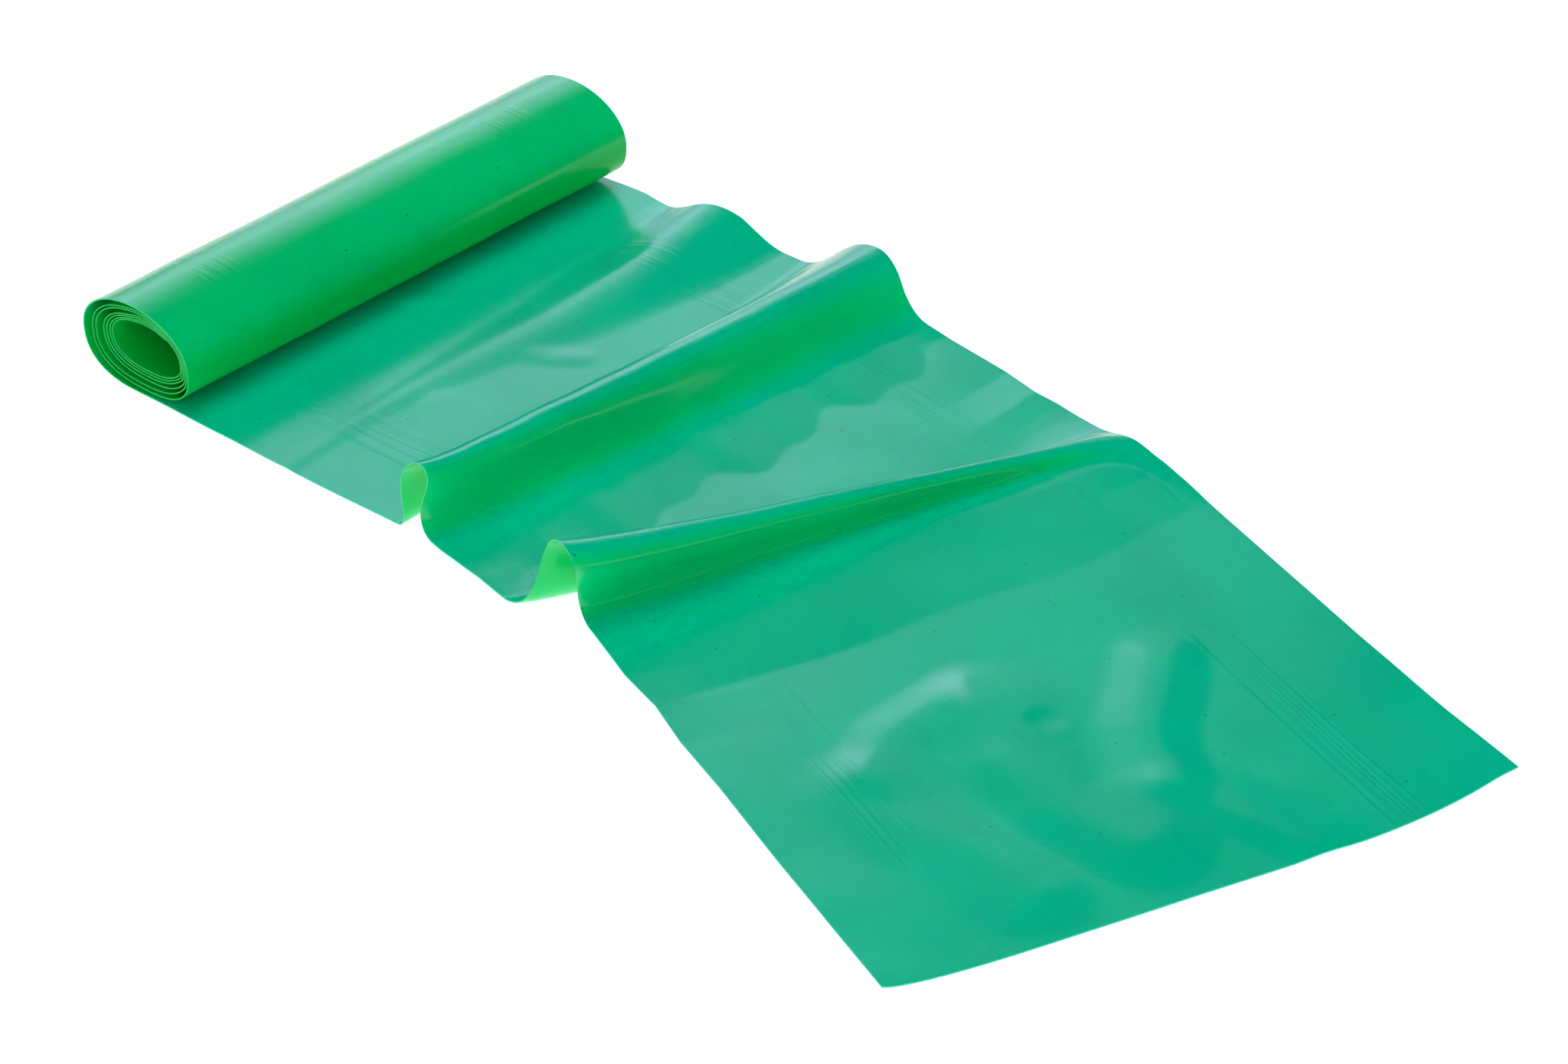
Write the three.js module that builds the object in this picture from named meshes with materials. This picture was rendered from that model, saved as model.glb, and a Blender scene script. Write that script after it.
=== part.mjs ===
// A flat rubber exercise band, rolled up at one end and laid out over the floor at the other.
// Millimetres, +Z up. The band is 150 mm wide. It leaves the underside of the roll and runs
// towards -Y over three raised folds, here called rises, which swing it round towards -X.
// A real band bends and stretches anywhere. Here it is cut at the flat lines between the rises
// into named lengths, each one solid, so that each length can turn on the floor line it starts at.
import * as THREE from 'three';

// ---- driving dimensions -------------------------------------------------------------------

const WIDTH = 150;
const THICKNESS = 0.35;
const RUN_LENGTH = 344; // from the roll's centre line to the free end, along the rubber
const CUT_GAP = 0.4; // left between two neighbouring lengths

// The straight lines at which the lengths meet: where each crosses the band's middle, as a
// distance along the rubber, and the direction square to it, in degrees from -Y towards -X.
const CUTS = {
  atRoll: { at: 18, square: 0 },
  afterLowRise: { at: 73.6, square: 0 },
  afterMiddleRise: { at: 143, square: 9.2 },
  afterFrontRise: { at: 236, square: 21.2 },
  atFreeEnd: { at: 318, square: 21.2 },
};

// A rise is a fold that stands up from the floor and comes down again. Each pair of values is
// for the band's left edge and its right edge, and the points between take values between.
//   start      distance along the rubber at which it leaves the floor
//   height     how high its crest stands
//   back,front steepest slope of the face towards the roll and of the one away from it, degrees
//   backSkew, frontSkew   below 1 the steepest place is nearer the start of that face
//   turn       how far the band swings towards -X on its way over, degrees
//   square     the direction straight across the fold, degrees from -Y towards -X
//   reach      above 1 the left edge's steepness reaches further over to the right
const RISES = [
  {
    start: [42, 28], height: [0.5, 6], back: [6, 29], front: [6, 24],
    backSkew: [1, 1], frontSkew: [1, 1], turn: -1, square: 0, reach: 1,
  },
  {
    start: [83.5, 75], height: [17.2, 12.5], back: [98, 40], front: [108, 51],
    backSkew: [0.6, 0.83], frontSkew: [0.85, 1.04], turn: 10.2, square: 0.5, reach: 0.7,
  },
  {
    start: [150, 190], height: [22.2, 1.2], back: [88, 5], front: [116, 4],
    backSkew: [1.4, 1], frontSkew: [1.07, 1], turn: 12, square: 27, reach: 4.7,
  },
];

// The roll, seen along its axis. Its outer turn and its open core are ovals in (Y, Z). The
// corners value is 2 for a true ellipse, and more for a squarer one.
const ROLL_OUTER = { y: 4.3, z: 12.1, halfY: 18.3, halfZ: 11.9, cornersTop: 2, cornersBottom: 2.6 };
const ROLL_CORE = { y: 0.4, z: 14.1, halfY: 11.2, halfZ: 5.9, cornersTop: 2.2, cornersBottom: 2.4 };
const ROLL_TURNS = 6.61;
// How far in from the outer turn each turn lies at the back, as a share of the way to the core.
const TURN_DEPTHS = [0, 0.28, 0.4, 0.66, 0.76, 0.87, 0.95, 1];
const LOOSE_ABOVE = 7; // where the turns have this much room they bunch as TURN_DEPTHS says
const EVEN_BELOW = 4.5; // and where they have only this much they are evenly spaced

// ---- fineness -----------------------------------------------------------------------------

const TRACE_STEP = 0.5; // along the rubber, when its path over the rises is worked out
const FACE_SAMPLES = 60; // when the rubber in one face of a rise is measured
const COLUMNS = 8; // across the band
const ROLL_STEPS_PER_TURN = 36;

// ---- small helpers ------------------------------------------------------------------------

const radians = THREE.MathUtils.degToRad;
const mix = THREE.MathUtils.lerp;

function smooth(t) {
  const k = THREE.MathUtils.clamp(t, 0, 1);
  return k * k * (3 - 2 * k);
}

// A unit vector on the floor, turned from -Y towards -X by an angle.
function heading(angle) {
  return new THREE.Vector3(-Math.sin(angle), -Math.cos(angle), 0);
}

// ---- the laid-out band --------------------------------------------------------------------

// The slope of a face at q, from 0 at its start to 1 at its end.
function faceSlope(face, q) {
  return face.steepest * Math.sin(Math.PI * q ** face.skew);
}

// How much rubber a face takes to climb the rise's height.
function faceLength(face, height) {
  let climb = 0;
  for (let i = 0; i < FACE_SAMPLES; i += 1) {
    climb += Math.sin(faceSlope(face, (i + 0.5) / FACE_SAMPLES)) / FACE_SAMPLES;
  }
  return height / climb;
}

// One rise as the line at u meets it: u is 0 at the band's left edge and 1 at its right.
function riseAt(rise, u) {
  const across = (pair) => mix(pair[0], pair[1], u);
  const steep = (pair) => radians(mix(pair[0], pair[1], u ** rise.reach));
  const back = { steepest: steep(rise.back), skew: across(rise.backSkew) };
  const front = { steepest: steep(rise.front), skew: across(rise.frontSkew) };
  const height = across(rise.height);
  const start = across(rise.start);
  const crest = start + faceLength(back, height);
  const end = crest + faceLength(front, height);
  return { start, crest, end, back, front, turn: radians(rise.turn), square: radians(rise.square) };
}

function slopeOn(rise, s) {
  if (s <= rise.start || s >= rise.end) return 0;
  if (s < rise.crest) {
    return faceSlope(rise.back, (s - rise.start) / (rise.crest - rise.start));
  }
  return -faceSlope(rise.front, (s - rise.crest) / (rise.end - rise.crest));
}

// Follows the rubber from the roll to the free end at a fixed distance from its left edge, and
// returns its mid-surface points, TRACE_STEP apart. It rides over each rise square to the fold.
function traceLine(u) {
  const rises = RISES.map((rise) => riseAt(rise, u));
  const at = new THREE.Vector3(WIDTH * u, 0, 0);
  const points = [at.clone()];
  for (let s = TRACE_STEP / 2; s < RUN_LENGTH; s += TRACE_STEP) {
    const swung = rises.reduce(
      (sum, r) => sum + r.turn * smooth((s - r.start) / (r.end - r.start)), 0,
    );
    const rise = rises.find((r) => s > r.start && s < r.end);
    if (rise) {
      const slope = slopeOn(rise, s);
      const askew = swung - rise.square;
      const ahead = TRACE_STEP * Math.cos(askew);
      at.addScaledVector(heading(rise.square), ahead * Math.cos(slope));
      at.addScaledVector(heading(rise.square + Math.PI / 2), TRACE_STEP * Math.sin(askew));
      at.z += ahead * Math.sin(slope);
    } else {
      at.addScaledVector(heading(swung), TRACE_STEP);
    }
    points.push(at.clone());
  }
  rises.forEach((rise) => landOnFloor(points, rise));
  points.forEach((p) => { p.z += THICKNESS / 2; });
  return points;
}

// Takes out what little height the steps leave over at the end of a rise, evenly along it.
function landOnFloor(points, rise) {
  const first = Math.ceil(rise.start / TRACE_STEP);
  const last = Math.ceil(rise.end / TRACE_STEP);
  const left = points[last].z;
  for (let i = first; i < points.length; i += 1) {
    points[i].z -= left * Math.min(1, (i - first) / (last - first));
  }
}

function pointOn(line, s) {
  const place = THREE.MathUtils.clamp(s / TRACE_STEP, 0, line.length - 1.001);
  const i = Math.floor(place);
  return line[i].clone().lerp(line[i + 1], place - i);
}

const LINES = Array.from({ length: COLUMNS + 1 }, (_, c) => traceLine(c / COLUMNS));
const MIDDLE_LINE = LINES[COLUMNS / 2];

// How far along a traced line the rubber crosses a cut that is moved along by an offset.
function crossing(line, cut, offset) {
  const square = heading(radians(cut.square));
  const middle = pointOn(MIDDLE_LINE, cut.at).addScaledVector(square, offset);
  const past = (p) => p.clone().sub(middle).dot(square);
  const i = line.findIndex((p) => past(p) > 0);
  const before = past(line[i - 1]);
  return (i - 1 + before / (before - past(line[i]))) * TRACE_STEP;
}

// The closed solid of one length of the band, from one cut to the next. With no second cut it
// runs on to the band's end.
function bandGeometry(from, to, rows) {
  const starts = LINES.map((line) => crossing(line, from, CUT_GAP / 2));
  const ends = LINES.map((line) => (to ? crossing(line, to, -CUT_GAP / 2) : RUN_LENGTH));
  const middle = (r, c) => {
    const column = THREE.MathUtils.clamp(c, 0, COLUMNS);
    const share = THREE.MathUtils.clamp(r, 0, rows) / rows;
    return pointOn(LINES[column], mix(starts[column], ends[column], share));
  };

  const positions = [];
  for (const side of [0.5, -0.5]) {
    for (let r = 0; r <= rows; r += 1) {
      for (let c = 0; c <= COLUMNS; c += 1) {
        const along = middle(r + 1, c).sub(middle(r - 1, c));
        const over = middle(r, c + 1).sub(middle(r, c - 1));
        const up = along.cross(over).normalize();
        positions.push(...middle(r, c).addScaledVector(up, side * THICKNESS));
      }
    }
  }

  const perSide = (rows + 1) * (COLUMNS + 1);
  const top = (r, c) => r * (COLUMNS + 1) + c;
  const under = (r, c) => perSide + top(r, c);
  const triangles = [];
  const quad = (a, b, c, d) => triangles.push(a, b, c, a, c, d);
  for (let r = 0; r < rows; r += 1) {
    for (let c = 0; c < COLUMNS; c += 1) {
      quad(top(r, c), top(r + 1, c), top(r + 1, c + 1), top(r, c + 1));
      quad(under(r, c), under(r, c + 1), under(r + 1, c + 1), under(r + 1, c));
    }
    quad(top(r, 0), under(r, 0), under(r + 1, 0), top(r + 1, 0));
    quad(top(r + 1, COLUMNS), under(r + 1, COLUMNS), under(r, COLUMNS), top(r, COLUMNS));
  }
  for (let c = 0; c < COLUMNS; c += 1) {
    quad(top(0, c + 1), under(0, c + 1), under(0, c), top(0, c));
    quad(top(rows, c), under(rows, c), under(rows, c + 1), top(rows, c + 1));
  }

  const geometry = new THREE.BufferGeometry();
  geometry.setAttribute('position', new THREE.Float32BufferAttribute(positions, 3));
  geometry.setIndex(triangles);
  geometry.computeVertexNormals();
  return geometry;
}

// ---- the roll -----------------------------------------------------------------------------

// A point on an oval: angle 0 is its lowest point, and a quarter turn on is its back.
function onOval(oval, angle) {
  const s = Math.sin(angle);
  const c = Math.cos(angle);
  const corners = c > 0 ? oval.cornersBottom : oval.cornersTop;
  const soften = (v) => Math.sign(v) * Math.abs(v) ** (2 / corners);
  return new THREE.Vector2(oval.y + oval.halfY * soften(s), oval.z - oval.halfZ * soften(c));
}

// How far in from the outer turn the rubber lies after some turns, from 0 to 1.
function depthAfter(turns, room) {
  const behind = Math.max(0, turns - 0.25);
  const whole = Math.floor(behind);
  const step = smooth((behind - whole - 0.3) / 0.7);
  const even = (whole + step) / (TURN_DEPTHS.length - 1);
  const bunched = mix(TURN_DEPTHS[whole], TURN_DEPTHS[whole + 1], step);
  return mix(even, bunched, smooth((room - EVEN_BELOW) / (LOOSE_ABOVE - EVEN_BELOW)));
}

function spiralPoint(turns) {
  const angle = turns * 2 * Math.PI;
  const outer = onOval(ROLL_OUTER, angle);
  const core = onOval(ROLL_CORE, angle);
  return outer.clone().lerp(core, depthAfter(turns, outer.distanceTo(core)));
}

// The rolled end: the spiral, and the short flat tongue on the floor that leads out of it.
function rollGeometry() {
  const path = [new THREE.Vector2(-CUTS.atRoll.at + CUT_GAP / 2, THICKNESS / 2)];
  const steps = Math.round(ROLL_TURNS * ROLL_STEPS_PER_TURN);
  for (let i = 0; i <= steps; i += 1) path.push(spiralPoint((i / steps) * ROLL_TURNS));
  const faceOffset = (i, side) => {
    const before = path[Math.max(0, i - 1)];
    const after = path[Math.min(path.length - 1, i + 1)];
    const along = after.clone().sub(before).normalize();
    const inward = new THREE.Vector2(-along.y, along.x);
    return path[i].clone().addScaledVector(inward, side * THICKNESS / 2);
  };
  const outside = path.map((p, i) => faceOffset(i, -1));
  const inside = path.map((p, i) => faceOffset(i, 1)).reverse();
  const section = new THREE.Shape([...outside, ...inside]);
  const geometry = new THREE.ExtrudeGeometry(section, { depth: WIDTH, bevelEnabled: false });
  // The section was drawn in (X, Y) and extruded along Z: turn it to (Y, Z) and X.
  geometry.applyMatrix4(new THREE.Matrix4().makeBasis(
    new THREE.Vector3(0, 1, 0), new THREE.Vector3(0, 0, 1), new THREE.Vector3(1, 0, 0),
  ));
  return geometry;
}

// ---- the object ---------------------------------------------------------------------------

function length(name, geometry, color) {
  const material = new THREE.MeshStandardMaterial({ color, roughness: 0.45, metalness: 0 });
  const mesh = new THREE.Mesh(geometry, material);
  mesh.name = name;
  return mesh;
}

const { atRoll, afterLowRise, afterMiddleRise, afterFrontRise, atFreeEnd } = CUTS;
const band = new THREE.Group();
band.add(
  length('rolled_end', rollGeometry(), '#0fae72'),
  length('lead_out', bandGeometry(atRoll, afterLowRise, 12), '#22b38f'),
  length('middle_rise', bandGeometry(afterLowRise, afterMiddleRise, 32), '#14ae7e'),
  length('front_rise', bandGeometry(afterMiddleRise, afterFrontRise, 38), '#17ae80'),
  length('tail_length', bandGeometry(afterFrontRise, atFreeEnd, 6), '#28b291'),
  length('free_end', bandGeometry(atFreeEnd, null, 2), '#28b291'),
);

// The origin is the middle of the object's footprint, on the floor.
const bounds = new THREE.Box3().setFromObject(band);
const centre = bounds.getCenter(new THREE.Vector3());
band.position.set(-centre.x, -centre.y, 0);

export default band;
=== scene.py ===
"""A green latex exercise band, rolled up at one end and laid out over three raised folds.

The whole band is worked out as one sheet in its own coordinates: "along" is the distance along
the rubber, 0 just in front of the line that the roll rests on and growing towards the free end,
and "across" is the distance from its left edge. The sheet is then cut into five pieces. Lengths
are in millimetres in the band's own frame, and become metres in the row's frame when a mesh is
made.
"""

import math

import bpy
import numpy as np
from mathutils import Euler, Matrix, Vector


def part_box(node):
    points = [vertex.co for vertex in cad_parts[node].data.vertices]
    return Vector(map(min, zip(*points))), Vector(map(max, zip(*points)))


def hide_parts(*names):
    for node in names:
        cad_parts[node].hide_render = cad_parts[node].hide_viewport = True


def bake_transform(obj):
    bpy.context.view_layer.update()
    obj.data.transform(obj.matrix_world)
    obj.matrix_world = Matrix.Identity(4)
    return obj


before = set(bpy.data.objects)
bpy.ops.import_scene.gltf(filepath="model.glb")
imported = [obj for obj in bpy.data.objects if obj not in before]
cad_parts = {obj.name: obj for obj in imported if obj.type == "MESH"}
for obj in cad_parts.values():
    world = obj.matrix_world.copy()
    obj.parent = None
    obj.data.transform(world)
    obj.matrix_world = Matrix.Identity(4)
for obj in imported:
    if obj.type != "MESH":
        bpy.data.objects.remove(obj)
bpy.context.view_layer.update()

MM = 0.001

# ---- driving dimensions ---------------------------------------------------------------------

# These are the CAD model's, apart from the low fold, which is kept lower in the left half of the
# width here, and the roll's taper.

WIDTH = 150.0
THICKNESS = 0.35
RUN_LENGTH = 344.0

# The raised folds: where each starts along the rubber, how high it is, and the steepest slope of
# its back and front faces in degrees. A skew of 1 makes a face steepest at its middle, and more
# makes it steepest nearer the free end. "turn" is how many degrees the fold turns the band, and
# "square" is the direction square to it, from -Y towards -X. Each pair is for the left edge and
# the right one. Where "grows" is above 1, the height stays near the left edge's until close to
# the right edge, and "reach" does the same for the slopes.
RISES = [
    {
        "start": (42, 28), "height": (0.2, 6), "back": (4, 29), "front": (4, 24),
        "back_skew": (1, 1), "front_skew": (1, 1),
        "turn": -1, "square": 0, "grows": 3.2, "reach": 3.2,
    },
    {
        "start": (83.5, 75), "height": (17.2, 12.5), "back": (98, 40), "front": (108, 51),
        "back_skew": (0.6, 0.83), "front_skew": (0.85, 1.04),
        "turn": 10.2, "square": 0.5, "grows": 1, "reach": 0.7,
    },
    {
        "start": (150, 190), "height": (22.2, 1.2), "back": (88, 5), "front": (116, 4),
        "back_skew": (1.4, 1), "front_skew": (1.07, 1),
        "turn": 12, "square": 27, "grows": 1, "reach": 4.7,
    },
]

ROLL_OUTER = {"y": 4.3, "z": 12.1, "half_y": 18.3, "half_z": 11.9, "top": 2, "bottom": 2.6}
ROLL_CORE = {"y": 0.4, "z": 14.1, "half_y": 11.2, "half_z": 5.9, "top": 2.2, "bottom": 2.4}
ROLL_TURNS = 6.61
COUNTED_FROM = 0.25  # turns: each step inwards is counted from the roll's back
STEADY_SHARE = 0.3  # the share of a turn that the rubber stays at one depth before it steps

# How deep each whole turn lies, from the outer oval (0) to the core (1), where there is more
# than LOOSE_ABOVE of room between the two. Below EVEN_BELOW the turns are evenly spaced.
TURN_DEPTHS = (0, 0.28, 0.4, 0.66, 0.76, 0.87, 0.95, 1)
LOOSE_ABOVE = 7
EVEN_BELOW = 4.5
OUTER_TURN = 95  # how much rubber the outer turn takes
ROLL_TAPER = (0.985, 1.04)  # the roll's height at its left end and its right one

# The floor lines that the band bends on, as in the CAD cuts: where each crosses the band's
# middle, and the direction square to it in degrees from -Y towards -X.
BENDS = {
    "roll": {"at": 18, "square": 0},
    "lead": {"at": 73.6, "square": 0},
    "front": {"at": 143, "square": 9.2},
    "tail": {"at": 236, "square": 21.2},
}

# ---- fineness -------------------------------------------------------------------------------

TRACE_STEP = 0.5
FACE_SAMPLES = 60
COLUMNS = 100
LAID_ROW = 1.0
ROLL_ROW = 1.2
SPIRAL_SAMPLES = 2400
PATH_SAMPLES = 40


def smooth(t):
    k = np.clip(t, 0, 1)
    return k * k * (3 - 2 * k)


def mix(a, b, share):
    return a + (b - a) * share


def heading(angle):
    """Unit vectors on the floor, turned from -Y towards -X by an angle."""
    return np.stack([-np.sin(angle), -np.cos(angle), np.zeros_like(angle)], -1)


# ---- the laid-out band ----------------------------------------------------------------------


def face_length(steepest, skew, height):
    """How much rubber a face takes to climb the rise's height."""
    q = (np.arange(FACE_SAMPLES) + 0.5) / FACE_SAMPLES
    slope = steepest[:, None] * np.sin(np.pi * q ** skew[:, None])
    return height / np.sin(slope).mean(1)


def rise_at(rise, u):
    """One rise as the lines at u meet it: where it starts, crests and ends, and its faces."""
    across = {key: mix(*rise[key], u) for key in ("start", "back_skew", "front_skew")}
    across["height"] = mix(*rise["height"], u ** rise["grows"])
    steep = {face: np.radians(mix(rise[face][0], rise[face][1], u ** rise["reach"]))
             for face in ("back", "front")}
    start = across["start"]
    crest = start + face_length(steep["back"], across["back_skew"], across["height"])
    end = crest + face_length(steep["front"], across["front_skew"], across["height"])
    return start, crest, end, steep, across


def trace(u):
    """The mid-surface of the laid-out band: points by [step along, line across]."""
    steps = round(RUN_LENGTH / TRACE_STEP)
    s = (np.arange(steps) + 0.5)[:, None] * TRACE_STEP
    shapes = [rise_at(rise, u) for rise in RISES]
    swung = sum(math.radians(rise["turn"]) * smooth((s - start) / (end - start))
                for rise, (start, _, end, _, _) in zip(RISES, shapes))
    step = heading(swung) * TRACE_STEP
    for rise, (start, crest, end, steep, across) in zip(RISES, shapes):
        climbing = np.clip((s - start) / (crest - start), 0, 1)
        falling = np.clip((s - crest) / (end - crest), 0, 1)
        up = steep["back"] * np.sin(np.pi * climbing ** across["back_skew"])
        down = -steep["front"] * np.sin(np.pi * falling ** across["front_skew"])
        slope = np.where(s < crest, up, down)
        square = np.full_like(slope, math.radians(rise["square"]))
        ahead = TRACE_STEP * np.cos(swung - square)
        aside = TRACE_STEP * np.sin(swung - square)
        over = heading(square) * (ahead * np.cos(slope))[..., None]
        over += heading(square + np.pi / 2) * aside[..., None]
        over[..., 2] += ahead * np.sin(slope)
        on_rise = (s > start) & (s < end)
        step = np.where(on_rise[..., None], over, step)
    points = np.zeros((steps + 1, len(u), 3))
    points[0, :, 0] = WIDTH * u
    points[1:] = points[0] + np.cumsum(step, 0)
    for start, _, end, _, _ in shapes:
        land_on_floor(points, start, end)
    points[..., 2] += THICKNESS / 2
    return points


def land_on_floor(points, start, end):
    """Takes out what little height the steps leave over at the end of a rise."""
    row = np.arange(len(points))[:, None]
    first = np.ceil(start / TRACE_STEP).astype(int)
    last = np.ceil(end / TRACE_STEP).astype(int)
    left = points[last, np.arange(points.shape[1]), 2]
    points[..., 2] -= left * np.clip((row - first) / (last - first), 0, 1)


# ---- the roll -------------------------------------------------------------------------------


def on_oval(oval, angle):
    """(y, z) on an oval: angle 0 is its lowest point, and a quarter turn on is its back."""
    s, c = np.sin(angle), np.cos(angle)
    corners = np.where(c > 0, oval["bottom"], oval["top"])
    y = oval["y"] + oval["half_y"] * np.sign(s) * np.abs(s) ** (2 / corners)
    z = oval["z"] - oval["half_z"] * np.sign(c) * np.abs(c) ** (2 / corners)
    return np.stack([y, z], -1)


def depth_after(turns, room):
    """How far in from the outer turn the rubber lies after some turns, from 0 to 1."""
    behind = np.maximum(0, turns - COUNTED_FROM)
    whole = np.floor(behind).astype(int)
    step = smooth((behind - whole - STEADY_SHARE) / (1 - STEADY_SHARE))
    depths = np.array(TURN_DEPTHS)
    even = (whole + step) / (len(depths) - 1)
    bunched = mix(depths[whole], depths[whole + 1], step)
    return mix(even, bunched, smooth((room - EVEN_BELOW) / (LOOSE_ABOVE - EVEN_BELOW)))


def roll_path():
    """The roll's spiral in (y, z), from its inner end out to the floor line, evenly spaced,
    and how far along the rubber each point is."""
    turns = np.linspace(0, ROLL_TURNS, SPIRAL_SAMPLES)
    angle = turns * 2 * np.pi
    outer = on_oval(ROLL_OUTER, angle)
    core = on_oval(ROLL_CORE, angle)
    room = np.linalg.norm(outer - core, axis=1)
    path = mix(outer, core, depth_after(turns, room)[:, None])
    path = np.vstack([[0, THICKNESS / 2], path])
    run = np.concatenate([[0], np.cumsum(np.linalg.norm(np.diff(path, axis=0), axis=1))])
    rows = round(run[-1] / ROLL_ROW)
    even = np.linspace(0, run[-1], rows + 1)
    yz = np.stack([np.interp(even, run, path[:, k]) for k in (0, 1)], -1)
    return yz[::-1], -even[::-1]


# ---- the whole sheet ------------------------------------------------------------------------


def whole_sheet():
    """The band's mid-surface as one grid, from the roll's inner end to the free end."""
    u = np.linspace(0, 1, COLUMNS + 1)
    traced = trace(u)
    keep = np.arange(round(LAID_ROW / TRACE_STEP), len(traced), round(LAID_ROW / TRACE_STEP))
    yz, rolled_along = roll_path()
    rolled = np.zeros((len(yz), len(u), 3))
    rolled[..., 0] = WIDTH * u
    rolled[..., 1:] = yz[:, None]
    rolled[..., 2] *= mix(*ROLL_TAPER, u)
    points = np.concatenate([rolled, traced[keep]])
    along = np.concatenate([rolled_along, keep * TRACE_STEP])
    return points, along, WIDTH * u


def normals_of(points):
    along = np.gradient(points, axis=0)
    over = np.gradient(points, axis=1)
    up = np.cross(along, over)
    return up / np.linalg.norm(up, axis=-1, keepdims=True)


# ---- what handling has left in the rubber ---------------------------------------------------

# How far each edge is drawn in (below 0) or out, by distance along: ripples pull it in. The
# roll's edges are straight, and the drawing in grows to its full size over the first EDGE_START.
LEFT_EDGE = (
    (0, 0.1), (66, 0.8), (130, 0.8), (142, -0.2), (198, -0.7), (228, -0.7), (240, -2),
    (254, -1), (272, -1), (300, -0.3), (344, 0.3),
)
RIGHT_EDGE = (
    (0, 1), (20, 0.8), (34, -1.5), (54, 0.8), (74, 0.3), (106, -1), (118, -2.2), (134, -0.6),
    (156, -0.3), (168, -2), (175, -1.2), (188, -2.1), (198, -2.8), (212, -1), (250, -0.9),
    (290, -0.7), (320, 0.2), (344, 1.6),
)
EDGE_START = 20
EDGE_REACH = 40  # how far in from an edge its drawing in is felt
EDGE_LIFT = 0.4  # how much a drawn-in edge stands off the floor, for each millimetre

# Soft swells where the rubber stands off the floor, and one dimple, with a height below 0. The
# path is the crest, as distances (along, across). The widths are its reach to the two sides of
# the path and past its ends: right is the side of growing across where the path runs towards
# the free end.
SWELLS = (
    # the free end
    {"path": ((277, 31), (268, 41), (263, 56)), "height": 0.7, "left": 20, "right": 9, "ends": 14},
    {"path": ((282, 28), (298, 32), (312, 38), (328, 43)),
     "height": 0.8, "left": 20, "right": 12, "ends": 16},
    {"path": ((268, 64), (287, 59), (306, 60), (324, 68)),
     "height": 1.3, "left": 15, "right": 24, "ends": 18},
    {"path": ((279, 73), (280, 73.5)), "height": -0.3, "left": 6, "right": 6, "ends": 5},
    {"path": ((272, 109), (292, 92), (308, 85)),
     "height": 1.0, "left": 15, "right": 12, "ends": 16},
    {"path": ((312, 88), (326, 93), (340, 101)),
     "height": 0.6, "left": 9, "right": 16, "ends": 12},
    # between the low fold and the middle one
    {"path": ((52, 42), (60, 33), (68, 22)), "height": 0.3, "left": 5, "right": 9, "ends": 8},
    {"path": ((56, 74), (64, 80)), "height": 0.3, "left": 6, "right": 6, "ends": 5},
    {"path": ((14, 73), (20, 78)), "height": 0.3, "left": 6, "right": 6, "ends": 6},
)

# Below a steep fold the rubber comes down to the floor at a low slope: how far along it is
# highest and where it touches down, at the left edge and the right, and the share of the slope
# that is left at the right edge. The line where it touches down wavers: each wave is a height,
# how far apart its crests are, and a place across where it has one.
TOES = (
    {"high": (114, 114), "down": (148, 137), "right": 1, "wavers": ((2, 19, 48), (3, 43, 18))},
    {"high": (203, 203), "down": (240, 228), "right": 0.6, "wavers": ((0.7, 60, 20),)},
)
TOE_SLOPE = math.tan(math.radians(5))
TOE_FADE = 25  # the length of the fold's face over which the foot's height fades out

# Faint waves all over the laid band and the roll's outer turn: how many, their shortest and
# longest wavelength, and their height together. They fade out where the roll meets the laid
# band, and at the inner end of the outer turn.
WAVES = 14
WAVE_LENGTHS = (16, 60)
WAVE_HEIGHT = 0.05
WAVE_FADE = 10


def swell_height(swell, along, across):
    """The height that one swell adds at each point of the sheet."""
    path = np.array(swell["path"], float)
    run = np.linspace(0, len(path) - 1, PATH_SAMPLES)
    knots = np.arange(len(path))
    crest = np.stack([np.interp(run, knots, path[:, k]) for k in (0, 1)], -1)
    crest[1:-1] = (crest[:-2] + 2 * crest[1:-1] + crest[2:]) / 4
    ahead = np.gradient(crest, axis=0)
    ahead /= np.linalg.norm(ahead, axis=1, keepdims=True)
    best = np.full(along.shape, np.inf)
    height = np.zeros(along.shape)
    for (a, c), (da, dc) in zip(crest, ahead):
        past = (along - a) * da + (across - c) * dc
        aside = (across - c) * da - (along - a) * dc
        width = np.where(aside < 0, swell["left"], swell["right"])
        reach = np.hypot(aside / width, past / swell["ends"])
        closer = reach < best
        best = np.where(closer, reach, best)
        height = np.where(closer, swell["height"] * (1 - smooth(reach)), height)
    return height


def toe_height(toe, along, across):
    """The height that the low slope at one fold's foot adds."""
    u = across / WIDTH
    high, down = mix(*toe["high"], u), mix(*toe["down"], u)
    for height, apart, crest in toe["wavers"]:
        down = down - height * np.cos(2 * np.pi * (across - crest) / apart)
    slope = TOE_SLOPE * mix(1, toe["right"], u ** 2)
    lift = slope * np.clip(down - along, 0, down - high)
    return lift * smooth((along - high) / TOE_FADE + 1)


def wave_height(along, across):
    """The height of the faint waves, above and below 0."""
    random = np.random.default_rng(4)
    total = np.zeros(along.shape)
    for _ in range(WAVES):
        direction = random.uniform(0, math.pi)
        wavelength = random.uniform(*WAVE_LENGTHS)
        phase = random.uniform(0, 2 * math.pi)
        place = along * math.cos(direction) + across * math.sin(direction)
        total += np.sin(2 * math.pi * place / wavelength + phase) * wavelength
    return WAVE_HEIGHT * total / (sum(WAVE_LENGTHS) / 2 * math.sqrt(WAVES / 2))


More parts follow.
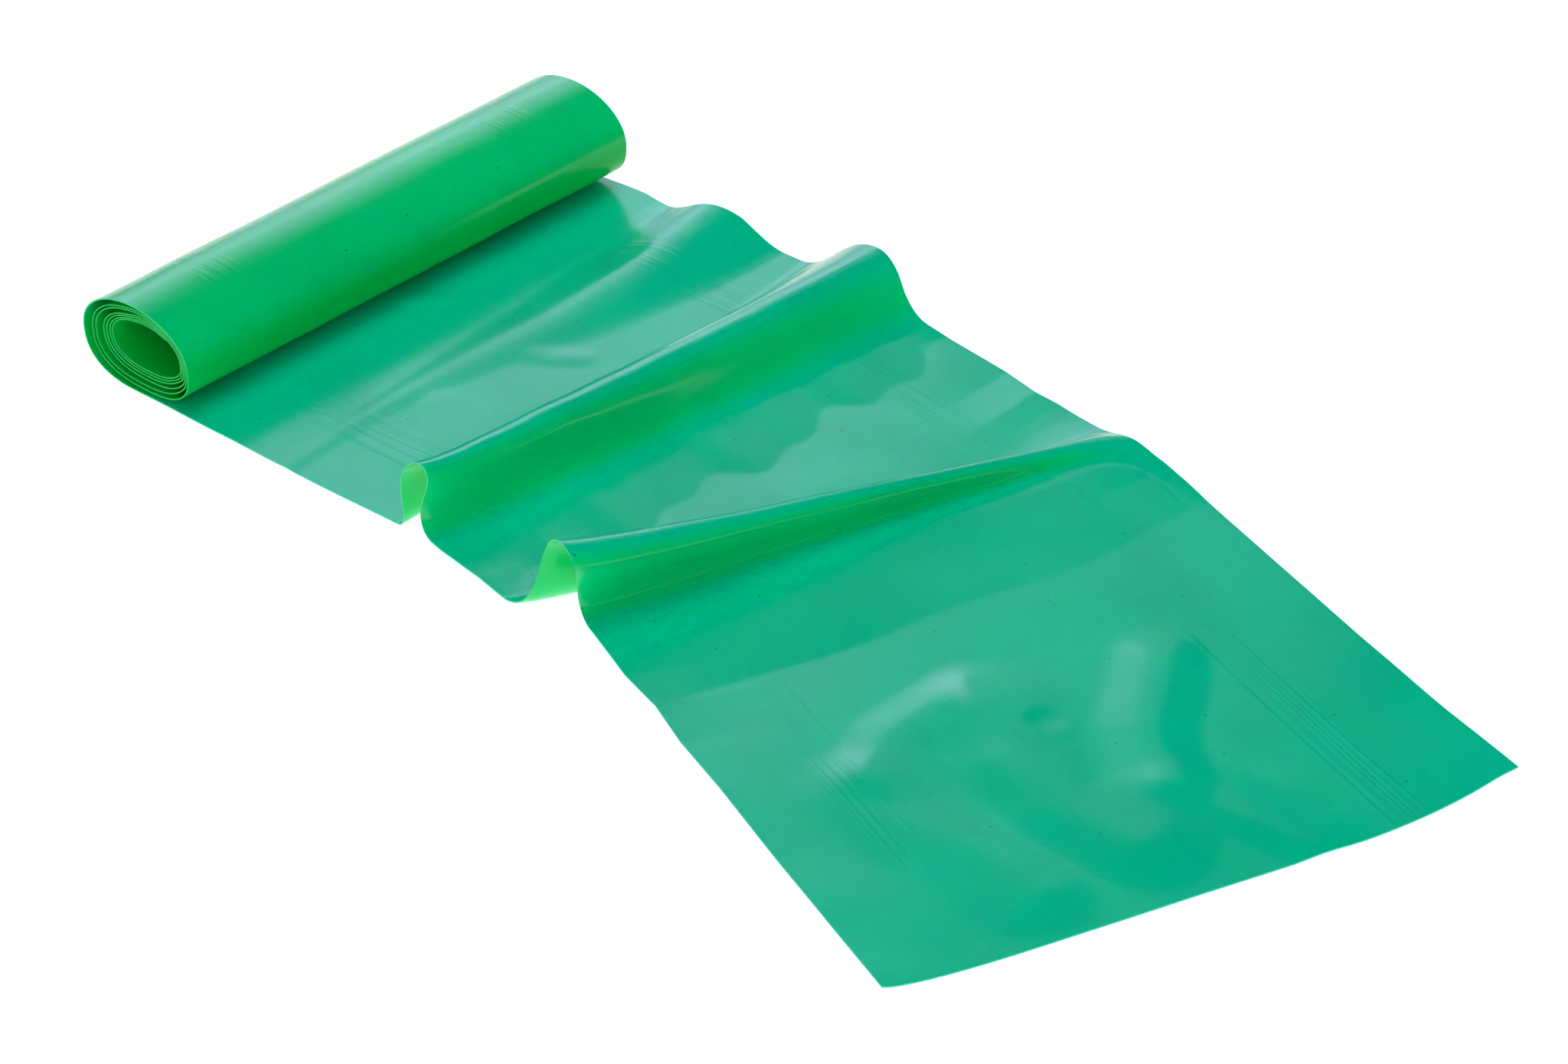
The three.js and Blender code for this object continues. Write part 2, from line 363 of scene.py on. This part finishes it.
def handled(points, along, across):
    """The sheet with its edges drawn in, its swells, its faint waves and its fold feet."""
    a, c = np.meshgrid(along, across, indexing="ij")
    normals = normals_of(points)
    aside = np.gradient(points, axis=1)
    aside /= np.linalg.norm(aside, axis=-1, keepdims=True)
    from_left = np.interp(a, *np.transpose(LEFT_EDGE))
    from_right = np.interp(a, *np.transpose(RIGHT_EDGE))
    near_left = 1 - smooth(c / EDGE_REACH)
    near_right = 1 - smooth((WIDTH - c) / EDGE_REACH)
    laid = smooth(a / EDGE_START)
    shift = (from_right * near_right - from_left * near_left) * laid
    lift = -EDGE_LIFT * (np.minimum(from_left, 0) * near_left ** 2
                         + np.minimum(from_right, 0) * near_right ** 2) * laid
    lift += sum(swell_height(swell, a, c) for swell in SWELLS)
    lift += (wave_height(a, c) + 2 * WAVE_HEIGHT) * smooth(np.abs(a) / WAVE_FADE)
    # On the roll the sheet's upper face looks inwards, and only the outer turn has room to move.
    outward = np.where(a < 0, -smooth((a + OUTER_TURN) / WAVE_FADE), 1)
    moved = points + aside * shift[..., None] + normals * (lift * outward)[..., None]
    moved[..., 2] += sum(toe_height(toe, a, c) for toe in TOES)
    return moved


POINTS, ALONG, ACROSS = whole_sheet()
POINTS = handled(POINTS, ALONG, ACROSS)
POINTS[..., 2] = np.maximum(POINTS[..., 2], THICKNESS / 2)
NORMALS = normals_of(POINTS)

# ---- painted shade: how deep the colour is made ---------------------------------------------

# Painted shade: rubber over rubber, and rubber turned away from the pale floor's light, looks deeper
# and yellower, and this is painted into the colour. The painted shade is 0 for one layer lying flat
# on the pale floor, RAISED for a steep face of a fold and for the roll's top, and 1 inside the roll.
RAISED = 0.35
UNDERSIDE = 0.5  # the least painted shade on the underside of a fold
UNDER_ROLL = 0.7
STEEP = 0.5  # a face is steep once its normal has lost this much of its height
ROLL_DEEP_BELOW = 10  # the outer turn is UNDER_ROLL below this height, RAISED above twice it
INSIDE_FADE = 10  # the length past the outer turn over which the depth grows to 1
ROLL_FOOT = 6  # the length, half each side of 0, over which the laid band's depth takes over
UNDERSIDE_LOW = 1  # an underside starts to deepen at this height
UNDERSIDE_RISE = 4  # and is as deep as it gets this much higher
LAID_FROM = 10  # only the laid band, from here on, has its underside deepened


def painted_shade_depth():
    """The painted shade at each point of the upper face, from 0 to 1."""
    steep = smooth((1 - NORMALS[..., 2]) / STEEP)
    high = smooth((POINTS[..., 2] - ROLL_DEEP_BELOW) / ROLL_DEEP_BELOW)
    along = ALONG[:, None]
    outer = mix(UNDER_ROLL, RAISED, high)
    rolled = mix(1, outer, smooth((along + OUTER_TURN) / INSIDE_FADE + 1))
    return mix(rolled, RAISED * steep, smooth(along / ROLL_FOOT + 0.5))


def underside_painted_shade(upper, height, along):
    """The painted shade on the lower face, made deeper under points of the given heights."""
    raised = smooth((height - UNDERSIDE_LOW) / UNDERSIDE_RISE) * (along > LAID_FROM)
    return mix(upper, np.maximum(upper, UNDERSIDE), raised)


PAINTED_SHADE = painted_shade_depth()

# ---- placing it in the row's frame ----------------------------------------------------------

roll_low, roll_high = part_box("rolled_end")
back_of_roll = ROLL_OUTER["y"] + ROLL_OUTER["half_y"] + THICKNESS / 2
ORIGIN = np.array([roll_low.x, roll_high.y - back_of_roll * MM, 0.0])


def in_row(points):
    return ORIGIN + np.asarray(points) * MM


# ---- meshes ---------------------------------------------------------------------------------


def piece_of_sheet(name, first, last, material):
    """A closed solid of the sheet's real thickness, from one distance along to another."""
    rows = np.nonzero((ALONG >= first - 0.01) & (ALONG <= last + 0.01))[0]
    mid, up = POINTS[rows], NORMALS[rows]
    n, m = mid.shape[:2]
    sides = [mid + up * THICKNESS / 2, mid - up * THICKNESS / 2]
    verts = in_row(np.concatenate([side.reshape(-1, 3) for side in sides]))
    index = np.arange(n * m).reshape(n, m)
    under = index + n * m

    def strip(a, b):
        return np.stack([a[:-1], a[1:], b[1:], b[:-1]], -1).reshape(-1, 4)

    top = np.stack([index[:-1, :-1], index[1:, :-1], index[1:, 1:], index[:-1, 1:]], -1)
    low = np.stack([under[:-1, :-1], under[:-1, 1:], under[1:, 1:], under[1:, :-1]], -1)
    walls = [
        strip(under[:, 0], index[:, 0]), strip(index[:, -1], under[:, -1]),
        strip(index[0], under[0]), strip(under[-1], index[-1]),
    ]
    quads = np.concatenate([top.reshape(-1, 4), low.reshape(-1, 4), *walls])

    mesh = bpy.data.meshes.new(name)
    mesh.vertices.add(len(verts))
    mesh.vertices.foreach_set("co", verts.ravel())
    mesh.loops.add(quads.size)
    mesh.loops.foreach_set("vertex_index", quads.ravel().astype(np.int32))
    mesh.polygons.add(len(quads))
    mesh.polygons.foreach_set("loop_start", np.arange(len(quads), dtype=np.int32) * 4)
    mesh.update(calc_edges=True)
    mesh.validate()

    band = np.stack(np.meshgrid(ALONG[rows], ACROSS, indexing="ij"), -1).reshape(-1, 2) * MM
    uv = mesh.uv_layers.new(name="band")
    uv.data.foreach_set("uv", np.concatenate([band, band])[quads.ravel()].ravel())

    # The painted shade goes on the mesh as a point attribute, which the colour ramp reads.
    shade_depth = mesh.attributes.new("shade_depth", "FLOAT", "POINT")
    upper = PAINTED_SHADE[rows]
    lower = underside_painted_shade(upper, mid[..., 2], ALONG[rows, None])
    shade_depth.data.foreach_set("value", np.stack([upper, lower]).ravel().astype(np.float32))

    # The two faces take the sheet's smooth normals, and the thin walls round the edge their own.
    flat = up.reshape(-1, 3)
    by_vertex = np.concatenate([flat, -flat])
    by_loop = by_vertex[quads.ravel()]
    first_wall = len(top.reshape(-1, 4)) + len(low.reshape(-1, 4))
    corners = verts[quads[first_wall:]]
    wall_up = np.cross(corners[:, 1] - corners[:, 0], corners[:, 3] - corners[:, 0])
    wall_up /= np.maximum(np.linalg.norm(wall_up, axis=1, keepdims=True), 1e-12)
    by_loop[first_wall * 4:] = np.repeat(wall_up, 4, axis=0)
    mesh.shade_smooth()
    mesh.normals_split_custom_set(by_loop.tolist())

    mesh.materials.append(material)
    piece = bpy.data.objects.new(name, mesh)
    bpy.context.scene.collection.objects.link(piece)
    return piece


# ---- material -------------------------------------------------------------------------------

# Rubber colour with painted shade: from one layer lying flat to the inside of the roll, the colour
# is made deeper and yellower by the painted shade. And how far light travels in the rubber between
# two scatterings. Blue travels furthest, so one layer over a pale floor looks teal, and several
# layers look a deeper, yellower green.
RUBBER_AND_PAINTED_SHADE = (
    (0.0, (0.0, 0.72, 0.40)), (RAISED, (0.0, 0.78, 0.26)), (UNDER_ROLL, (0.0, 0.70, 0.12)),
    (1.0, (0.0, 0.60, 0.08)),
)
PATCHY = 0.94  # the brightness left in the darkest soft patches
PATCH_SCALE = 26.0
PATCH_RANGE = (0.35, 0.65)
SCATTER_DISTANCE = (0.1 * MM, 0.2 * MM, 0.6 * MM)
GLOSS_ROUGHNESS = (0.15, 0.21)
WEAR_SCALE = 55.0
WEAR_RANGE = (0.3, 0.7)
IOR = 1.5
SHINE = (0.5, 0.12)  # the specular level of the open rubber, and of the rubber where the painted shade is deepest, low on the roll and inside it

# Fine lengthwise lines from the rollers that spread the rubber: the strips of the width, in
# millimetres across, where they show most.
LINE_STRIPS = ((117, 131), (17, 31))
LINE_STRIP_EDGE = 3
LINES_ELSEWHERE = 0.10
LINE_SCALE = 800.0
LINE_STRETCH = 0.012
LINE_DEPTH = 0.1
LINE_STRENGTH = 0.8

GRAIN_SCALE = 420.0
GRAIN_DEPTH = 0.04
GRAIN_STRENGTH = 0.25

# Dust specks: their colour, how many cells of the pattern there are to a metre, the speck's
# radius as a share of a cell, from solid to gone, and the share of cells left empty.
DUST = (0.0, 0.35, 0.15)
DUST_SCALE = 75.0
DUST_RADIUS = (0.012, 0.026)
DUST_FREE = 0.88


class Nodes:
    """A short way to add linked shader nodes to one material."""

    def __init__(self, material):
        self.tree = material.node_tree

    def add(self, kind, settings=None, **inputs):
        node = self.tree.nodes.new(kind)
        for key, value in (settings or {}).items():
            setattr(node, key, value)
        for key, value in inputs.items():
            self.put(node.inputs[key.replace("_", " ")], value)
        return node

    def put(self, socket, value):
        if isinstance(value, bpy.types.NodeSocket):
            self.tree.links.new(value, socket)
        else:
            socket.default_value = value

    def math(self, operation, *values):
        node = self.tree.nodes.new("ShaderNodeMath")
        node.operation = operation
        for socket, value in zip(node.inputs, values):
            self.put(socket, value)
        return node.outputs[0]

    def ranged(self, value, low, high, to_low=0.0, to_high=1.0):
        node = self.add("ShaderNodeMapRange", {"interpolation_type": "SMOOTHSTEP"})
        for name, given in (("Value", value), ("From Min", low), ("From Max", high),
                            ("To Min", to_low), ("To Max", to_high)):
            self.put(node.inputs[name], given)
        return node.outputs["Result"]

    def noise(self, vector, scale, detail=2.0):
        node = self.add("ShaderNodeTexNoise", {"noise_dimensions": "2D"},
                        Vector=vector, Scale=scale, Detail=detail)
        return node.outputs["Fac"]


def line_height(nodes, band, across):
    """Height of the fine lengthwise lines, from 0 to 1."""
    scale = (LINE_STRETCH, 1, 1)
    stretched = nodes.add("ShaderNodeMapping", Vector=band, Scale=scale).outputs[0]
    fine = nodes.noise(stretched, LINE_SCALE, 1.0)
    shown = LINES_ELSEWHERE
    for low, high in LINE_STRIPS:
        rising = nodes.ranged(across, low * MM, (low + LINE_STRIP_EDGE) * MM)
        falling = nodes.ranged(across, (high - LINE_STRIP_EDGE) * MM, high * MM, 1.0, 0.0)
        shown = nodes.math("ADD", shown, nodes.math("MULTIPLY", rising, falling))
    return nodes.math("MULTIPLY", fine, shown)


def dust_specks(nodes, band):
    """1 on a few tiny specks of dust, 0 elsewhere."""
    cells = nodes.add("ShaderNodeTexVoronoi", {"voronoi_dimensions": "2D"},
                      Vector=band, Scale=DUST_SCALE)
    near = nodes.ranged(cells.outputs["Distance"], *DUST_RADIUS, 1.0, 0.0)
    picked = nodes.add("ShaderNodeSeparateColor", Color=cells.outputs["Color"]).outputs[0]
    return nodes.math("MULTIPLY", near, nodes.math("GREATER_THAN", picked, DUST_FREE))


def latex_material():
    material = bpy.data.materials.new("green_latex")
    material.use_nodes = True
    nodes = Nodes(material)
    skin = material.node_tree.nodes["Principled BSDF"]
    band = nodes.add("ShaderNodeUVMap", {"uv_map": "band"}).outputs[0]
    across = nodes.add("ShaderNodeSeparateXYZ", Vector=band).outputs["Y"]

    # Painted shade: the colour ramp deepens the base colour by the painted shade attribute.
    shade_depth = nodes.add("ShaderNodeAttribute", {"attribute_name": "shade_depth"}).outputs["Fac"]
    rubber_and_shade_ramp = nodes.add("ShaderNodeValToRGB", Fac=shade_depth)
    stops = rubber_and_shade_ramp.color_ramp.elements
    stops[0].color = (*RUBBER_AND_PAINTED_SHADE[0][1], 1)
    stops[-1].color = (*RUBBER_AND_PAINTED_SHADE[-1][1], 1)
    for place, color in RUBBER_AND_PAINTED_SHADE[1:-1]:
        stops.new(place).color = (*color, 1)
    patches = nodes.ranged(nodes.noise(band, PATCH_SCALE, 4.0), *PATCH_RANGE, 1.0, PATCHY)
    patchy = nodes.add("ShaderNodeVectorMath", {"operation": "SCALE"}, Scale=patches)
    nodes.put(patchy.inputs[0], rubber_and_shade_ramp.outputs[0])
    specked = nodes.add("ShaderNodeMix", {"data_type": "RGBA"})
    nodes.put(specked.inputs["Factor"], dust_specks(nodes, band))
    nodes.put(specked.inputs[6], patchy.outputs[0])
    nodes.put(specked.inputs[7], (*DUST, 1))
    nodes.put(skin.inputs["Base Color"], specked.outputs[2])

    worn = nodes.noise(band, WEAR_SCALE, 5.0)
    nodes.put(skin.inputs["Roughness"], nodes.ranged(worn, *WEAR_RANGE, *GLOSS_ROUGHNESS))
    nodes.put(skin.inputs["IOR"], IOR)
    nodes.put(skin.inputs["Specular IOR Level"], nodes.ranged(shade_depth, RAISED, UNDER_ROLL, *SHINE))
    skin.subsurface_method = "RANDOM_WALK"
    nodes.put(skin.inputs["Subsurface Weight"], 1.0)
    nodes.put(skin.inputs["Subsurface Radius"], SCATTER_DISTANCE)
    nodes.put(skin.inputs["Subsurface Scale"], 1.0)

    lines = nodes.add("ShaderNodeBump", Height=line_height(nodes, band, across))
    nodes.put(lines.inputs["Strength"], LINE_STRENGTH)
    nodes.put(lines.inputs["Distance"], LINE_DEPTH * MM)
    grain = nodes.add("ShaderNodeBump", Height=nodes.noise(band, GRAIN_SCALE, 3.0))
    nodes.put(grain.inputs["Strength"], GRAIN_STRENGTH)
    nodes.put(grain.inputs["Distance"], GRAIN_DEPTH * MM)
    nodes.put(grain.inputs["Normal"], lines.outputs[0])
    nodes.put(skin.inputs["Normal"], grain.outputs[0])
    return material


FLOOR_GREY = 0.4
FLOOR_GLOW = 0.92


def floor_material():
    """A plain pale floor, evenly lit from below too, as a light table is."""
    material = bpy.data.materials.new("floor_white")
    material.use_nodes = True
    skin = material.node_tree.nodes["Principled BSDF"]
    skin.inputs["Base Color"].default_value = (FLOOR_GREY, FLOOR_GREY, FLOOR_GREY, 1)
    skin.inputs["Roughness"].default_value = 0.9
    skin.inputs["Specular IOR Level"].default_value = 0.0
    skin.inputs["Emission Color"].default_value = (1, 1, 1, 1)
    skin.inputs["Emission Strength"].default_value = FLOOR_GLOW
    return material


# ---- pieces ---------------------------------------------------------------------------------

LATEX = latex_material()
ROLL_END = ALONG[0]


def bend_line(name, ahead):
    """A point on the floor, some millimetres past a bend line, square to it, in the row frame."""
    bend = BENDS[name]
    middle = COLUMNS // 2
    row = np.abs(ALONG - bend["at"]).argmin()
    square = heading(np.array(math.radians(bend["square"])))
    return in_row(POINTS[row, middle] * (1, 1, 0) + square * ahead)


def add_piece(name, first, last, start, end, stands_for):
    """One stretch of the band, standing in for the CAD parts that it hides. The start and end are not
    used.
    """
    piece = piece_of_sheet(name, first, last, LATEX)
    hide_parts(*stands_for)
    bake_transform(piece)


BEND_LENGTH = 12
TAIL_BEND_LENGTH = 8  # the tail's cut is nearest to its bend line at the right edge
TAIL_STRETCH = (20, 90)  # the stretch of the tail, past its bend line, that lengthens
ROLL_BEND = np.array([0, 4.1, 4.9])  # from the roll's bend line to where the bend is over
add_piece(
    "band_roll", ROLL_END, 45,
    bend_line("roll", 0), bend_line("roll", 0) + ROLL_BEND * MM, ["rolled_end"],
)
add_piece(
    "band_lead_out", 45, 108,
    bend_line("lead", 0), bend_line("lead", -BEND_LENGTH), ["lead_out"],
)
add_piece(
    "band_middle_folds", 108, 190,
    bend_line("front", 0), bend_line("front", BEND_LENGTH), ["middle_rise"],
)
add_piece(
    "band_front_fold", 190, 250,
    bend_line("tail", 0), bend_line("tail", TAIL_BEND_LENGTH), ["front_rise"],
)
add_piece(
    "band_tail", 250, 344,
    bend_line("tail", TAIL_STRETCH[0]), bend_line("tail", TAIL_STRETCH[1]),
    ["tail_length", "free_end"],
)

# ---- floor, light, camera -------------------------------------------------------------------

FLOOR_HALF = 3.0
floor_corners = [(x * FLOOR_HALF, y * FLOOR_HALF, 0) for x, y in ((-1, -1), (1, -1), (1, 1), (-1, 1))]
floor_mesh = bpy.data.meshes.new("floor")
floor_mesh.from_pydata(floor_corners, [], [(0, 1, 2, 3)])
floor_mesh.materials.append(floor_material())
floor = bpy.data.objects.new("floor", floor_mesh)
floor.location.z = -0.1 * MM
bpy.context.scene.collection.objects.link(floor)

world = bpy.data.worlds.new("studio")
bpy.context.scene.world = world
world.use_nodes = True
world.node_tree.nodes["Background"].inputs["Strength"].default_value = 0.0


def softbox(name, place, facing, size, radiance, mirrored=True):
    """A rectangular light. One that isn't mirrored lights the object without a reflection."""
    light = bpy.data.lights.new(name, "AREA")
    light.shape = "RECTANGLE"
    light.size, light.size_y = size
    light.energy = radiance * math.pi * size[0] * size[1]
    lamp = bpy.data.objects.new(name, light)
    lamp.location = place
    lamp.rotation_euler = facing.to_track_quat("-Z", "Y").to_euler()
    lamp.visible_glossy = mirrored
    bpy.context.scene.collection.objects.link(lamp)
    return light


CAMERA_PLACE = (-0.5865, -0.5179, 0.5147)
CAMERA_DOWN = math.radians(33.177)
CAMERA_YAW = math.radians(-48.877)
FOCAL_LENGTH = 95.93
SENSOR_WIDTH = 36
AWAY = Vector((-math.sin(CAMERA_YAW), math.cos(CAMERA_YAW), 0))
LEFT = Vector((-AWAY.y, AWAY.x, 0))
UP = Vector((0, 0, 1))

# The rubber mirrors a tall lilac backdrop that stands mostly left of the view's middle and is
# brightest part of the way up: how high each strip reaches in degrees, and its radiance.
BACKDROP_STRIPS = ((8, 0.5), (16, 1.5), (24, 2.7), (34, 2.1), (40, 1.0), (46, 0.3))
BACKDROP_COLOR = (0.60, 0.62, 0.95)
BACKDROP_DISTANCE = 2.0
BACKDROP_ENDS = (2.0, -0.1)  # how far it runs to the left of the view's middle; below 0 is right
WIDE_STRIP = {"top": 40, "radiance": 0.6, "ends": (2.0, -0.45)}


def backdrop_strip(name, bottom, top, radiance, ends):
    low, high = (BACKDROP_DISTANCE * math.tan(math.radians(angle)) for angle in (bottom, top))
    place = AWAY * BACKDROP_DISTANCE + LEFT * (sum(ends) / 2) + UP * ((low + high) / 2)
    light = softbox(name, place, -AWAY, (ends[0] - ends[1], high - low), radiance)
    light.color = BACKDROP_COLOR


reached = 0
for top, radiance in BACKDROP_STRIPS:
    backdrop_strip(f"backdrop_to_{top}", reached, top, radiance, BACKDROP_ENDS)
    reached = top
backdrop_strip("backdrop_wide", 0, WIDE_STRIP["top"], WIDE_STRIP["radiance"], WIDE_STRIP["ends"])
OVERHEAD = AWAY * 0.2 + UP * 2.2
FRONT_FILL = AWAY * -1.7 + UP * 1.3
softbox("overhead", OVERHEAD, -OVERHEAD, (1.6, 1.6), 2.6, mirrored=False)
softbox("front_fill", FRONT_FILL, -FRONT_FILL, (2.4, 1.6), 1.6, mirrored=False)

camera_data = bpy.data.cameras.new("camera")
camera_data.sensor_width = SENSOR_WIDTH
camera_data.lens = FOCAL_LENGTH
camera = bpy.data.objects.new("camera", camera_data)
camera.location = CAMERA_PLACE
camera.rotation_euler = Euler((math.pi / 2 - CAMERA_DOWN, 0, CAMERA_YAW))
bpy.context.scene.collection.objects.link(camera)
bpy.context.scene.camera = camera
bpy.context.scene.view_settings.view_transform = "Standard"
